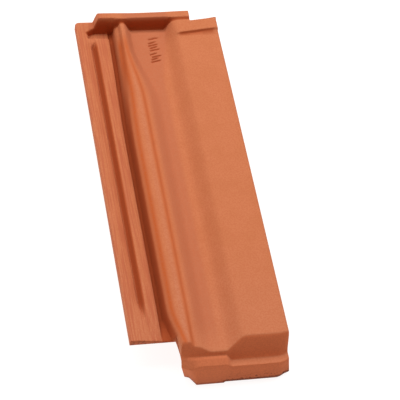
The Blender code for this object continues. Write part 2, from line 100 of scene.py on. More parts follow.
# Head of the ridge: it narrows to a blunt point in front of the lip, and the trough widens
NARROW_BACK = 0.125
NARROW_LENGTH = 0.085
HEAD_RIDGE_WIDTH = 0.0028
HEAD_TOP_WIDTH = 0.001
HEAD_STEP_WIDTH = 0.001
HEAD_GAP = 0.0004
HEAD_SLOPE_SHARE = 0.0953
HEAD_CUTBACK = 0.0068
HEAD_CUTBACK_BACK = 0.195
HEAD_CUTBACK_LENGTH = 0.18
HEAD_FLANK_LEAN = 0.45
HEAD_WALL_SHIFT = 0.48
HEAD_RISE_BACK = 0.05
HEAD_RISE_LENGTH = 0.038
HEAD_RISE_START_SHARE = 0.4956
HEAD_RISE_END_SHARE = 0.5751
HEAD_DIP = 0.003

# Ends of the lock: the groove runs out and the channel floor climbs before the tile's nose
LOCK_END = 0.0378
GROOVE_END = 0.061
GROOVE_RUNOUT = 0.028
GROOVE_START_GAP = 0.027
GROOVE_START_RUN = 0.012
PLATFORM_LENGTH = 0.033
PLATFORM_FALL = 0.002
CHANNEL_CLIMB = 0.005
CUTBACK = 0.009
CUTBACK_FADE = (0.012, 0.072)

# Nose: riser, ledge, foot and the step in the foot's bottom
NOSE_DROP = 0.0236
NOSE_DRAFT = 0.0055
LEDGE_LENGTH = 0.0077
LEDGE_LEAST = 0.2
RISER_RUN = 0.0158
RISER_ROUNDNESS = 0.60
LEDGE_LIFT = 0.0042
LEDGE_FALL = 0.0029
LEDGE_BACK = 0.0028
NOSE_STEP = 0.0026
NOSE_STEP_FADE = (0.02, 0.07)
FOOT_FLARE = 0.004
FLARE_LENGTH = 0.051
FOOT_STEP = 0.0025
FOOT_STEP_WIDTH = 0.002
FOOT_THICKNESS = 0.0165
NOSE_BACK_RUN = 0.0185
LEFT_CORNER_WIDTH = 0.0105
LEFT_CORNER_DEPTH = 0.0042
LEFT_CORNER_POWER = 1.3
LEFT_UNDERCUT = 0.0068
LEFT_UNDERCUT_WIDTH = 0.033
LOCK_REACH = 0.0045
LEFT_FOOT_WIDTH = 0.005
LEFT_FOOT_LEAD = 0.0017
LEFT_CUT_WIDTH = 0.0065
LEFT_CUT_DEPTH = 0.0093
RIGHT_CORNER_WIDTH = 0.013
RIGHT_CORNER_DEPTH = 0.0045
RIGHT_CORNER_EXTRA = 0.0018
RISER_CORNER_EXTRA = -0.0028
SKIRT_LENGTH = 0.054
SKIRT_FADE = 0.04

# Head: gutter, lip, raised strip on the panel and its oblique cut-back
LIP_LENGTH = 0.0085
LIP_WALL_RUN = 0.0025
LIP_RISE = 0.0045
LIP_SAG = 0.0014
LIP_START = 0.0215
LIP_START_RUN = 0.0046
LIP_END_SHARE = 0.7379
GUTTER_LENGTH = 0.0125
GUTTER_DROP = 0.0195
GUTTER_START = 0.0118
GUTTER_START_RUN = 0.0042
GUTTER_WALL = 0.0012
GUTTER_SLANT = 0.56
STRIP_RISE = 0.0027
STRIP_LENGTH = 0.0154
STRIP_FACE = 0.0022
CUTBACK_LENGTH = 0.018
OBLIQUE = 0.12
HEAD_CORNER = 0.0045

# Underside: shell, flange and rib of the cover side, rib under the head and the hanging nibs
SHELL = 0.011
COVER_SHELL = 0.0095
CHANNEL_SHELL = 0.0085
FLANGE_WIDTH = 0.0036
FLANGE_DROP = 0.019
COVER_RIB_BACK = 0.0222
COVER_RIB_WIDTH = 0.003
COVER_RIB_DROP = 0.015
TAPER = 0.0015
HEAD_RIB_BACK = 0.056
HEAD_RIB_LENGTH = 0.024
HEAD_RIB_DEPTH = 0.007
NIB_WIDTH = 0.026
NIB_LENGTH = 0.016
NIB_TAPER = 0.003
NIB_BACK = 0.052
NIB_LEFT_SHARE = 0.1064
NIB_RIGHT_SHARE = 0.5989

# Slack for telling on which side of a mesh line a point lies, and turns that settle the crossings
SLACK = 0.000002
CROSSING_TURNS = 12

# Places across the tile that follow from the widths
RIB_X = RIM_WIDTH + GROOVE_WIDTH
CHANNEL_X = RIB_X + RIB_WIDTH
FLANK_X = CHANNEL_X + WALL_RUN + CHANNEL_WIDTH
SHOULDER_X = FLANK_X + FLANK_RUN
EDGE_X = WIDTH - FOOT_FLARE
BODY_WIDTH = EDGE_X - SHOULDER_X
RIDGE_X = SHOULDER_X + SHOULDER_WIDTH
STEP_X = RIDGE_X + RIDGE_WIDTH
SLOPE_X = STEP_X + RIDGE_STEP_WIDTH + RIDGE_GAP
TROUGH_X = SLOPE_X + SLOPE_SHARE * BODY_WIDTH
RISE_X = TROUGH_X + TROUGH_SHARE * BODY_WIDTH
RISE_WIDTH = RISE_SHARE * BODY_WIDTH
PANEL_X = RISE_X + RISE_WIDTH
HEAD_RISE_START = SHOULDER_X + HEAD_RISE_START_SHARE * BODY_WIDTH
HEAD_RISE_END = SHOULDER_X + HEAD_RISE_END_SHARE * BODY_WIDTH
LIP_END = SHOULDER_X + LIP_END_SHARE * BODY_WIDTH
NIB_LEFT = SHOULDER_X + NIB_LEFT_SHARE * BODY_WIDTH
NIB_RIGHT = SHOULDER_X + NIB_RIGHT_SHARE * BODY_WIDTH
FLANGE_X = EDGE_X - FLANGE_WIDTH
COVER_RIB_X = EDGE_X - COVER_RIB_BACK
COVER_RIB = (COVER_RIB_X - 0.5 * COVER_RIB_WIDTH, COVER_RIB_X + 0.5 * COVER_RIB_WIDTH)
FOOT_STEP_X = RISE_X
LEFT_FOOT_X = SHOULDER_X + CUTBACK + LEFT_UNDERCUT

# Places along the tile that follow from the lengths
FOOT_Y = NOSE_DRAFT + LEDGE_LENGTH
LIP_Y = LENGTH - LIP_LENGTH
WALL_Y = LIP_Y - LIP_WALL_RUN
GUTTER_Y = WALL_Y - GUTTER_LENGTH
CUT_Y = LENGTH - CUTBACK_LENGTH
STRIP_Y = CUT_Y - STRIP_LENGTH
HEAD_RIB_Y = LENGTH - HEAD_RIB_BACK
GROOVE_START = LENGTH - GROOVE_START_GAP
NIB_Y = LENGTH - NIB_BACK
NIB_ROOT = -TROUGH_DEPTH - SHELL - HEAD_RIB_DEPTH

# Stamped strokes in the trough
STAMP_X = 0.0832
STAMP_Y = 0.41
STAMP_ROWS = 9
STAMP_GROUP = 4
STAMP_PITCH = 0.0037
STAMP_GAP = 0.0024
STAMP_LEAN = 0.0012
STAMP_SHIFT = 0.0009
STAMP_LENGTH = 0.0105
STAMP_SHORTER = 0.3
STAMP_LEAD = 0.002

# Lines drawn along the rim and the rib, and the orange lines along the ridge: places and fades
RIM_LINE_X = 0.0091
RIB_LINE_X = 0.0284
LEFT_LINE = 0.005
LEFT_LINE_HEAD = -0.0014
LINE_WIDTH = 0.0029
# Near the head the left orange line spreads over the flank, painting the light that the flank shows there
HEAD_LINE_SPREAD = 0.6
LINE_FLANK = (0.7, 0.3)
LINE_START = (0.012, 0.03)
GUTTER_FADE = 0.02
RIGHT_LINE_TONE = 0.8

# Tones on the tile: how softly the painted shade in the hollows starts, and where and how strong each tone
# lies
FADE = 0.0011
# The darker, pinker colour on the slope into the trough: its soft width and where it starts
SLOPE_TINT_WIDTH = 0.007
SLOPE_TINT_START = 0.06
HEAD_FLANK_START = 0.8
# Painted shade on the riser
RISER_TONE = 0.06
# Redder clay on the nose's faces, partly on the ledge, which also paints their deep red in shade
FACE_FADE = 0.0012
LEDGE_TONE = 0.6
# Painted shade on the strip's front face, in the groove, on the rib's side towards the channel and on the
# rim's side towards the groove
STRIP_TONE = 0.85
GROOVE_SIDES = (RIM_WIDTH + 0.0026, RIB_X + 0.0014)
RIB_TONE = 0.1
RIB_SIDES = (RIB_X + 0.0055, CHANNEL_X)
RIM_TONE = 0.22
RIM_SIDES = (RIM_WIDTH - 0.0045, RIB_X)
# Painted highlight along the rim's outer edge
EDGE_HIGHLIGHT = 0.8
EDGE_HIGHLIGHT_SIDES = (0.0018, 0.006)

# The flank bulges at the head: how much further out and up its middle lies there
HEAD_BULGE_RUN = 0.20
HEAD_BULGE_RISE = 0.36

# Slow waves of the surface: length and direction
WAVES = ((0.061, 0.4), (0.043, 1.3), (0.031, 2.2), (0.023, 0.9), (0.037, 2.8))
WAVE_PHASE = 1.7

# Blur of the creases: places in crease radii, with their weights
TAPS = ((-1.0, 1.0), (-0.5, 2.0), (0.0, 3.0), (0.5, 2.0), (1.0, 1.0))
TAPS_TOTAL = sum(weight for place, weight in TAPS) ** 2

# Mesh: shares of the edge radius, cell sizes up to a place, and cuts
EDGE_SHARES = (0.08, 0.3, 0.6, 1.0)
CELLS_ACROSS = (
    (0.0426, 0.0008), (0.067, 0.0012), (0.082, 0.0016), (0.097, 0.0006), (0.122, 0.0016),
    (1.0, 0.0028),
)
CELLS_ALONG = (
    (0.034, 0.001), (0.09, 0.0022), (0.345, 0.007), (0.408, 0.004), (0.437, 0.0007),
    (1.0, 0.001),
)
CELL_SLACK = 0.05
FLANGE_STEPS = 7
TALL_FACE = 0.008
SHARP_ANGLE = math.radians(42.0)
# Tone attributes: ridge lines, painted shade, the slope's darker colour, nose faces (partly painted
# shade), and paler clay with a painted highlight on the rim's edge
TONES = ("ridge_lines", "painted_shade", "slope_tint", "faces", "pale_and_highlight")

# Grain and pits of the nose's front: its upright edges, and where on it they start and are full
NOSE_CUTS = 17
UPRIGHT_RISE = 0.012
UPRIGHT_DEPTH = 0.006
ROUGH_SCALE = 420.0
GRAIN_LAYER = 3.0
GRAIN_LEFT = 0.3
PIT_LAYER = 9.0
PIT_LEVEL = 0.30
PIT_GAIN = 4.0
PIT_TOP = (0.006, 0.018)
PIT_SIDE = (0.075, 0.11)

# Patterns of the clay: scale and detail, then the levels where it starts and is full
CLOUDS = (55.0, 5.0, 0.35, 0.65)
SPECKLES = (1400.0, 2.0, 0.3, 0.7)
COARSE_GRAIN = (560.0, 3.0, 0.40, 0.62)
STREAKS = (620.0, 3.0, 0.42, 0.62)
# Dark specks painted as the shade of small pits
PITS = (430.0, 1.0, 0.57, 0.63)
SKIN = (260.0, 3.0)
STREAK_STRETCH = (1.0, 0.035, 1.0)

# Where the clay's masks start and are full: along, across and up the tile
NOSE_CLAY = (0.03, 0.17)
FRONT_CLAY = (0.008, 0.016)
PITTED_SIDE = (0.085, 0.115)
# Painted shade along the nose's lower edge, and darkening its front towards the foot
FOOT_SHADE = (0.0024, 0.0046)
LOW_SHADE = (0.002, 0.016)
LOCK_CLAY = (CHANNEL_X, CHANNEL_X + 0.002)
# The lock's end face, where shade is painted
LOCK_FACE = (LOCK_END + 0.0002, LOCK_END + 0.0009)
LOCK_FACE_SIDE = (FLANK_X, FLANK_X + 0.001)

# Strength of the clay's layers and of its bumps
NOSE_SHARE = 0.5
# Strength of the darker, pinker colour on the slope
SLOPE_TINT_SHARE = 0.8
STREAK_SHARE = 0.85
FACE_SHARE = 0.95
# Painted shade low on the nose's front, in its pits and along its lower edge: strengths
LOW_SHADE_SHARE = 0.45
PIT_SHARE = 0.8
FOOT_LEFT = 0.55
# Strength of the painted shade on the lock's end face
LOCK_FACE_SHARE = 0.6
COARSE_GAIN = 1.6
STREAK_BUMP = 0.6
SPECKLE_BUMP = 0.35
SKIN_BUMP = 0.5

# Stage
FLOOR_HALF = 4.0
KEY_PLACE = (0.0, 1.00, 2.20)
CAMERA_LENS = 145.8
CAMERA_SENSOR = 36.0
CAMERA_REACH = 20.0
CAMERA_PLACE = (-0.39382, -1.00276, 1.49156)
CAMERA_AXES = (
    (0.97173, -0.17511, 0.15835), (0.05563, 0.82166, 0.56726), (-0.22945, -0.54241, 0.80817),
)


def held(value):
    """The value held between 0 and 1."""
    return np.clip(value, 0.0, 1.0)


def smooth(value, start, end):
    """Goes from 0 at start to 1 at end, level at both."""
    t = held((value - start) / (end - start))
    return t * t * (3.0 - 2.0 * t)


def mix(a, b, t):
    return a + (b - a) * t


def bump(value, middle, width):
    """A rounded hill: 1 at the middle, fading over about the width to each side."""
    return np.exp(-(((value - middle) / width) ** 2))


def edge_fall(distance, radius):
    """Fall of a rounded edge at a distance inside the outline."""
    inside = held(1.0 - distance / radius)
    return radius * (1.0 - np.sqrt(1.0 - inside ** 2))


def steps(start, end, count):
    """Places from start up to, and without, end."""
    return [mix(start, end, k / count) for k in range(count)]


def along(points, x):
    """Height at x of the straight-sided outline through the points."""
    height = points[0][1] + 0.0 * x
    for (x0, z0), (x1, z1) in zip(points, points[1:]):
        height = np.where(x > x0, mix(z0, z1, held((x - x0) / (x1 - x0))), height)
    return height


def groove_open(y):
    """1 where the groove is whole and 0 past its two ends."""
    nose_end = smooth(y, GROOVE_END, GROOVE_END + GROOVE_RUNOUT)
    head_end = smooth(y, GROOVE_START - GROOVE_START_RUN, GROOVE_START)
    return nose_end * (1.0 - head_end)


def platform(y):
    """1 on the plain end of the lock and 0 along the rest of it."""
    return 1.0 - smooth(y, LOCK_END, LOCK_END + PLATFORM_LENGTH)


def near_head(y, back, length):
    """Goes from 0 at a distance from the head to 1 after a length."""
    return smooth(y, LENGTH - back, LENGTH - back + length)


def head_cutback(y):
    """How far the ridge's left edge moves right towards the head."""
    return HEAD_CUTBACK * near_head(y, HEAD_CUTBACK_BACK, HEAD_CUTBACK_LENGTH)


def shoulder_x(y):
    """Left edge of the ridge, cut back near the nose and near the head."""
    return SHOULDER_X + CUTBACK * (1.0 - smooth(y, *CUTBACK_FADE)) + head_cutback(y)


def shoulder_height(y):
    """Height of the ridge's left edge, which climbs a little where it is cut back."""
    return -SHOULDER_DROP + SHOULDER_LIFT * (1.0 - smooth(y, *CUTBACK_FADE))


def on_lock(x, y):
    """Whether a place lies left of the ridge."""
    return x < shoulder_x(y) - SLACK


def channel_x(y):
    """Where the rib ends and the channel starts, further right near the head."""
    return CHANNEL_X + HEAD_WALL_SHIFT * head_cutback(y)


def channel_floor(y):
    return -CHANNEL_DROP + CHANNEL_CLIMB * platform(y)


def flank_run(y):
    """How far the channel's right side leans."""
    return FLANK_RUN + HEAD_FLANK_LEAN * head_cutback(y)


def lock_outline(y):
    """Points of the lock's top, from the rim's outer edge to the ridge's left edge."""
    opening = groove_open(y)
    rim_low = -RIM_DROP - RIM_FALL
    rib_high = -RIB_DROP - PLATFORM_FALL * platform(y)
    rib_low = rib_high - RIB_FALL
    right = RIB_X + GROOVE_ROUND
    left = mix(right - GROOVE_TIP, RIM_WIDTH, opening)
    floor = mix(0.5 * (rim_low + rib_high), rim_low - GROOVE_DEPTH, opening)
    edge, wall = shoulder_x(y), channel_x(y)
    points = [
        (0.0, -RIM_DROP - RIM_ROUND),
        (RIM_ROUND, -RIM_DROP),
        (0.5 * RIM_WIDTH, -RIM_DROP),
        (left - 0.3 * (left - RIM_ROUND), -RIM_DROP - 0.4 * RIM_FALL),
        (left, rim_low),
    ]
    points += [(mix(left, right, run), mix(rim_low, floor, fall)) for run, fall in GROOVE_LEFT]
    points += [(mix(left, right, run), mix(floor, rib_high, climb)) for run, climb in GROOVE_RIGHT]
    points.append((right, rib_high))
    points += [(mix(RIB_X, wall, run), mix(rib_high, rib_low, fall)) for run, fall in RIB_PROFILE]
    run, low, high = flank_run(y), channel_floor(y), shoulder_height(y)
    head = head_cutback(y) / HEAD_CUTBACK
    bulge = (edge - run * (0.5 + HEAD_BULGE_RUN * head), mix(low, high, 0.5 + HEAD_BULGE_RISE * head))
    return points + [(wall + WALL_RUN, low), (edge - run, low), bulge, (edge, high)]


def narrow(y):
    """0 along the tile and 1 at the head, where the ridge ends in a blunt point."""
    return near_head(y, NARROW_BACK, NARROW_LENGTH)


def head_rise(y):
    """0 along the tile and 1 at the head, where the panel's left side is steeper."""
    return near_head(y, HEAD_RISE_BACK, HEAD_RISE_LENGTH)


def body_places(y):
    """Where the ridge's top, step and slope, the trough's floor, its rise and the panel start."""
    point = narrow(y)
    top = mix(RIDGE_X, SHOULDER_X + HEAD_CUTBACK + HEAD_RIDGE_WIDTH, point)
    step = top + mix(RIDGE_WIDTH, HEAD_TOP_WIDTH, point)
    step_end = step + mix(RIDGE_STEP_WIDTH, HEAD_STEP_WIDTH, point)
    slope = step_end + mix(RIDGE_GAP, HEAD_GAP, point)
    trough = slope + mix(SLOPE_SHARE, HEAD_SLOPE_SHARE, point) * BODY_WIDTH
    rise = mix(RISE_X, HEAD_RISE_START, head_rise(y))
    panel = mix(PANEL_X, HEAD_RISE_END, head_rise(y))
    return top, step, step_end, slope, trough, rise, panel


def body_height(x, y):
    """Ridge, trough and panel, down from the top of the panel."""
    top, step, step_end, slope, trough, rise, panel = body_places(y)
    edge = shoulder_x(y)
    t = held((x - edge) / (top - edge))
    height = -RIDGE_DROP + (shoulder_height(y) + RIDGE_DROP) * (1.0 - t) ** 2
    drop = RIDGE_STEP * (1.0 - narrow(y)) + NOSE_STEP * (1.0 - smooth(y, *NOSE_STEP_FADE))
    depth = TROUGH_DEPTH + HEAD_DIP * smooth(y, GUTTER_Y, WALL_Y)
    height -= drop * smooth(x, step, step_end)
    height -= (depth - RIDGE_DROP - drop) * smooth(x, slope, trough)
    height += depth * smooth(x, rise, panel)
    return height - edge_fall(EDGE_X - x, FLANGE_WIDTH)


def field_height(x, y):
    """The long section, without the head and the nose."""
    return np.where(on_lock(x, y), along(lock_outline(y), x), body_height(x, y))


def left_of_panel(x):
    """1 over the ridge and the trough and 0 over the panel."""
    return 1.0 - smooth(x, RISE_X, RISE_X + RISE_PART * RISE_WIDTH)


def in_trough(x):
    """1 over the trough and 0 over the ridge and the panel."""
    return smooth(x, STEP_X, mix(SLOPE_X, TROUGH_X, 0.25)) * left_of_panel(x)


def right_corner(x, depth):
    """Setback of the rounded right corner of the nose."""
    return depth * np.clip((x - EDGE_X + RIGHT_CORNER_WIDTH) / RIGHT_CORNER_WIDTH, 0.0, 2.0) ** 2


def front_y(x):
    """Front edge of the ledge, with its left corner cut and its right corner rounded."""
    t = held(1.0 - (x - shoulder_x(0.0)) / LEFT_CORNER_WIDTH)
    return NOSE_DRAFT + LEFT_CORNER_DEPTH * t ** LEFT_CORNER_POWER + right_corner(x, RIGHT_CORNER_DEPTH)


def foot_front_y(x, across):
    """Front edge of the foot's bottom, for the point at across below x."""
    cut = LEFT_FOOT_X + LEFT_FOOT_WIDTH
    outline = [
        (LEFT_FOOT_X, LEFT_CUT_DEPTH + LEFT_FOOT_LEAD),
        (cut, LEFT_CUT_DEPTH),
        (cut + LEFT_CUT_WIDTH, 0.0),
    ]
    return along(outline, across) + right_corner(x, RIGHT_CORNER_DEPTH + RIGHT_CORNER_EXTRA)


def foot_y(x):
    """Line where the riser meets the ledge."""
    plain = FOOT_Y + LEDGE_BACK * left_of_panel(x) + right_corner(x, RIGHT_CORNER_DEPTH)
    return np.maximum(plain, front_y(x) + LEDGE_LEAST * LEDGE_LENGTH)


def ledge_height(x, y):
    """Top of the ledge, higher left of the panel, where it climbs towards the riser."""
    front = LEDGE_LIFT * in_trough(x)
    back = (LEDGE_LIFT + LEDGE_FALL) * left_of_panel(x)
    return -NOSE_DROP + mix(front, back, held((y - front_y(x)) / LEDGE_LENGTH))


def riser_rise(t):
    """Share of the riser's height at a share of its run, rounded at both ends."""
    return mix(t, smooth(t, 0.0, 1.0), RISER_ROUNDNESS)


def crease_y(x):
    """Line where the riser meets the long section."""
    rise = field_height(np.minimum(x, FLANGE_X), 0.0 * x) - ledge_height(x, foot_y(x))
    return foot_y(x) + rise * RISER_RUN / NOSE_DROP + right_corner(x, RISER_CORNER_EXTRA)


def strip_line(x):
    """Lead of the oblique lines on the panel's head over a straight line."""
    return OBLIQUE * np.maximum(x - RISE_X, 0.0)


def strip_height(x, y):
    lead = strip_line(x)
    face = smooth(y, STRIP_Y + lead - STRIP_FACE, STRIP_Y + lead)
    return STRIP_RISE * face * smooth(x, PANEL_X - RISE_PART * RISE_WIDTH, PANEL_X)


def lip_height(x):
    """Top of the lip, with its curved left end and its low middle."""
    t = held((x - LIP_START) / LIP_START_RUN)
    across = held((x - LIP_START) / (LIP_END - LIP_START))
    top = LIP_RISE - LIP_SAG * np.sin(math.pi * across) ** 2
    return mix(-RIM_DROP, top, np.sin(0.5 * math.pi * t))


def wall_lag(x):
    """How far the gutter's head side lies back from the lip's wall, left of the lip."""
    return -GUTTER_SLANT * np.clip(LIP_START - x, 0.0, LIP_START - GUTTER_START)


def gutter_height(x, y, height):
    """Cuts the gutter in front of the lip across the lock."""
    across = smooth(x, GUTTER_START, GUTTER_START + GUTTER_START_RUN)
    length = smooth(y, GUTTER_Y - GUTTER_WALL, GUTTER_Y)
    cut = (x < shoulder_x(y) - flank_run(y)) & (y <= WALL_Y + wall_lag(x))
    return np.where(cut, mix(height, np.minimum(height, -GUTTER_DROP), across * length), height)


def plain_top(x, y):
    """Top of the tile with sharp creases, down from the top of the panel."""
    height = field_height(x, y)
    foot, crease = foot_y(x), crease_y(x)
    rise = riser_rise(held((y - foot) / (crease - foot)))
    nose = mix(ledge_height(x, np.minimum(y, foot)), height, rise)
    body = gutter_height(x, y, height + strip_height(x, y))
    wall = WALL_Y + wall_lag(x)
    base = np.where(x > GUTTER_START, np.maximum(body, -GUTTER_DROP), body)
    lip = mix(base, np.maximum(lip_height(x), -RIM_DROP), held((y - wall) / LIP_WALL_RUN))
    return np.where((y < crease) & ~on_lock(x, y), nose, np.where(y > wall, lip, body))


def head_y(x):
    """Head edge of the tile, rounded at the outer corner of the rim."""
    return LENGTH - edge_fall(x, HEAD_CORNER)


def foot_bottom(x):
    """Lowest height of the nose: its left part stands lower than the right."""
    return -PANEL_HEIGHT + FOOT_STEP * smooth(x, FOOT_STEP_X, FOOT_STEP_X + FOOT_STEP_WIDTH)


def window(value, start, end, taper=FADE):
    """1 between start and end, falling to 0 over the taper outside them."""
    return smooth(value, start - taper, start) * (1.0 - smooth(value, end, end + taper))


def skirt(y):
    """1 beside the nose, where the skirts hang, fading to 0 behind it."""
    return 1.0 - smooth(y, SKIRT_LENGTH, SKIRT_LENGTH + SKIRT_FADE)


def over_flange(x):
    return smooth(x, FLANGE_X - TAPER, FLANGE_X)


def lowered(under, low, share):
    """The underside, brought down to a height where the share is 1."""
    return mix(under, np.minimum(under, low), share)


def shell_under(x, y, top):
    """Underside of the plain shell and of what hangs along it."""
    keel = window(x, CHANNEL_X, shoulder_x(y), TAPER) * (1.0 - platform(y))
    lock = mix(-LOCK_UNDER, -CHANNEL_DROP - CHANNEL_SHELL, keel)
    under = top - mix(SHELL, COVER_SHELL, smooth(x, RISE_X, PANEL_X))
    rib = window(x, *COVER_RIB, TAPER)
    under = lowered(lowered(under, -COVER_RIB_DROP, rib), -FLANGE_DROP, over_flange(x))
    return np.where(on_lock(x, y), lock, under)


def nose_under(x, y, under):
    """Lowers the underside to the foot of the nose and to the skirts beside it."""
    block = 1.0 - held((y - FOOT_THICKNESS) / NOSE_BACK_RUN)
    under = mix(under, foot_bottom(x), block)
    left = window(x, shoulder_x(y), STEP_X, RIDGE_STEP_WIDTH / 3.0)
    under = lowered(under, foot_bottom(x), left * skirt(y))
    right = 1.0 - smooth(y, FOOT_THICKNESS, FOOT_THICKNESS + NOSE_BACK_RUN + SKIRT_FADE)
    return lowered(under, foot_bottom(x), over_flange(x) * right)


def under_points(x, y):
    """Underside points for the top points, apart from the flank."""
    under = shell_under(x, y, np.minimum(np.minimum(field_height(x, y), 0.0), plain_top(x, y)))
    head_rib = window(y, HEAD_RIB_Y, HEAD_RIB_Y + HEAD_RIB_LENGTH, 2.0 * TAPER)
    between = window(x, SHOULDER_X, COVER_RIB_X - COVER_RIB_WIDTH, TAPER)
    under = nose_under(x, y, lowered(under, NIB_ROOT, head_rib * between))
    near = 1.0 - smooth(y, 0.0, FLARE_LENGTH)
    edge = shoulder_x(y)
    left = (LEFT_FOOT_X - edge) * skirt(y) * (1.0 - smooth(x, edge, edge + LEFT_UNDERCUT_WIDTH))
    reach = LOCK_REACH * skirt(y) * smooth(x, CHANNEL_X, edge - FLANK_RUN)
    right = mix(EDGE_LEAN, FOOT_FLARE, near) * smooth(x, FLANGE_X, EDGE_X)
    across = x + np.where(on_lock(x, y), reach, left) + right
    draft = front_y(x) - foot_front_y(x, across)
    fade = np.maximum(1.0 - (y - front_y(x)) / FOOT_THICKNESS, 0.0)
    return across, y - draft * fade, under


def under_places(x, y):
    """Underside points for the top points; under the flank they lie on straight lines."""
    edge = shoulder_x(y)
    start = edge - flank_run(y)
    share = held((x - start) / (edge - start))
    flank = (x > start + SLACK) & on_lock(x, y)
    ends = zip(under_points(start, y), under_points(edge, y), under_points(x, y))
    return [np.where(flank, mix(left, right, share), plain) for left, right, plain in ends]


def stamp_strokes():
    """Ends of the short strokes pressed into the trough near the head."""
    strokes = []
    for row in range(STAMP_ROWS):
        y = STAMP_Y + row * STAMP_PITCH + STAMP_GAP * (row // STAMP_GROUP)
        start = STAMP_X + STAMP_SHIFT * (row % 3)
        reach = STAMP_LENGTH * (1.0 - STAMP_SHORTER * (row % 2))
        strokes.append((start, y - STAMP_LEAN, start + reach, y + STAMP_LEAN))
    return strokes


def stamp_depth(x, y, width):
    """1 in the middle of a stroke, fading to 0 at its sides."""
    depth = 0.0 * x
    for x0, y0, x1, y1 in stamp_strokes():
        run, rise = x1 - x0, y1 - y0
        t = held(((x - x0) * run + (y - y0) * rise) / (run ** 2 + rise ** 2))
        away = np.hypot(x - x0 - t * run, y - y0 - t * rise)
        depth = np.maximum(depth, np.exp(-((away / width) ** 4)))
    return depth


def before_gutter(y):
    """1 along the tile, fading to 0 in front of the gutter."""
    return 1.0 - smooth(y, GUTTER_Y - GUTTER_FADE, GUTTER_Y)


def unevenness(x, y):
    """Slow waves of the pressed surface, between about -1 and 1."""
    waves = 0.0 * x
    for number, (length, turn) in enumerate(WAVES):
        along_wave = x * math.cos(turn) + y * math.sin(turn)
        waves += np.sin(2.0 * math.pi * along_wave / length + WAVE_PHASE * number)
    return waves / len(WAVES)


def outline_distance(x, y):
    """Distance in plan to the tile's outline, without the cover side."""
    edge = shoulder_x(y)
    lock = on_lock(x, y)
    side = np.where(lock | (y > LOCK_END - SLACK), x, x - edge)
    front = np.where(lock, y - LOCK_END, y - front_y(x))
    cut = CUT_Y + strip_line(x)
    back = np.where(x > LIP_END + SLACK, cut - y, head_y(x) - y)
    step = np.where(y > cut, LIP_END - x, 1.0)
    return np.clip(np.minimum(np.minimum(side, front), np.minimum(back, step)), 0.0, None)


def relief_top(x, y, relief):
    """Top of the tile with its rounded creases and edges and its shallow relief."""
    height = 0.0 * x
    free = (y < LOCK_END - SLACK) & ~on_lock(x, y)
    for across, weight in TAPS:
        for lead, share in TAPS:
            near_y = y + lead * relief.crease_radius
            near_x = x + across * relief.crease_radius
            near_x = np.where(free, np.maximum(near_x, shoulder_x(near_y)), near_x)
            height += plain_top(near_x, near_y) * weight * share / TAPS_TOTAL
    height -= relief.stamp_depth * stamp_depth(x, y, relief.stamp_width)
    drawn = bump(x, RIM_LINE_X, relief.drawn_width) + bump(x, RIB_LINE_X, relief.drawn_width)
    height -= relief.drawn_depth * drawn * ((1.0 - platform(y)) * before_gutter(y))
    height += relief.unevenness * unevenness(x, y) * (x < EDGE_X - FLANGE_WIDTH)
    return np.minimum(height, LIP_RISE) - edge_fall(outline_distance(x, y), relief.edge_radius)


def beside(place, radius, side):
    """Mesh lines beside an outline, close together where the rounded edge is steep."""
    return [place + side * radius * share for share in EDGE_SHARES]


def lines_across(y, radius):
    """Places of the main mesh lines across the tile, for stations at y."""
    lock = [x for x, z in lock_outline(y)]
    top, step, step_end, slope, trough, rise, panel = body_places(y)
    edge = lock[-1]
    lines = lock[:1] + beside(lock[0], radius, 1.0) + lock[1:] + beside(edge, radius, 1.0)
    lines += [mix(edge + radius, top, 0.4), mix(edge + radius, top, 0.7)]
    lines += [top, step, step_end, slope, mix(slope, trough, 0.5), trough]
    lines += [mix(trough, rise, 0.5), rise, mix(rise, panel, 0.5), panel]
    lines += [mix(PANEL_X, LIP_END, 0.4)] + beside(LIP_END, radius, -1.0)[::-1] + [LIP_END]
    lines += [COVER_RIB[0] - TAPER, *COVER_RIB, COVER_RIB[1] + TAPER]
    lines += [FLANGE_X - TAPER, FLANGE_X]
    for turn in range(1, FLANGE_STEPS + 1):
        lines.append(FLANGE_X + FLANGE_WIDTH * math.sin(0.5 * math.pi * turn / FLANGE_STEPS))
    return [line + 0.0 * y for line in lines]


def lines_along(x, radius):
    """Places of the main mesh lines along the tile, for lines at x."""
    front, foot, crease = front_y(x), foot_y(x), crease_y(x)
    rows = [front] + beside(front, radius, 1.0) + [mix(front + radius, foot, 0.5)]
    rows += steps(foot, crease, 4) + [crease, mix(crease, LOCK_END, 0.5), LOCK_END]
    rows += beside(LOCK_END, radius, 1.0) + [GROOVE_END - 0.25 * GROOVE_RUNOUT, GROOVE_END + GROOVE_RUNOUT]
    rows += [LENGTH - HEAD_CUTBACK_BACK, LENGTH - NARROW_BACK, STAMP_Y - STAMP_LEAD]
    rows += [HEAD_RIB_Y - TAPER, HEAD_RIB_Y + TAPER, NIB_Y, NIB_Y + NIB_LENGTH]
    lead = strip_line(x)
    rows += [STRIP_Y + lead - STRIP_FACE, STRIP_Y + lead, mix(STRIP_Y, GUTTER_Y, 0.4) + lead]
    rows += [GUTTER_Y - GUTTER_WALL + lead, GUTTER_Y + lead]
    rows += beside(CUT_Y + lead, radius, -1.0)[::-1] + [CUT_Y + lead]
    past_lip = np.maximum(strip_line(x) - strip_line(LIP_END), 0.0) + wall_lag(x)
    wall, lip = WALL_Y + past_lip, LIP_Y + past_lip
    head = head_y(x) + past_lip - wall_lag(x)
    rows += [wall, lip] + beside(head, radius, -1.0)[::-1] + [head]
    return [row + 0.0 * x for row in rows]


def splits(nominal, reach):
    """How many mesh cells fill each gap between the main lines."""
    counts = []
    for start, end in zip(nominal, nominal[1:]):
        middle = 0.5 * (start + end)
        longest = [size for limit, size in reach if middle < limit][0]
        counts.append(max(1, math.ceil((end - start) / longest - CELL_SLACK)))
    return counts


def filled(lines, counts):
    """The main lines with the lines of the cells between them."""
    places = []
    for start, end, count in zip(lines, lines[1:], counts):
        places += steps(start, end, count)
    return places + [lines[-1]]


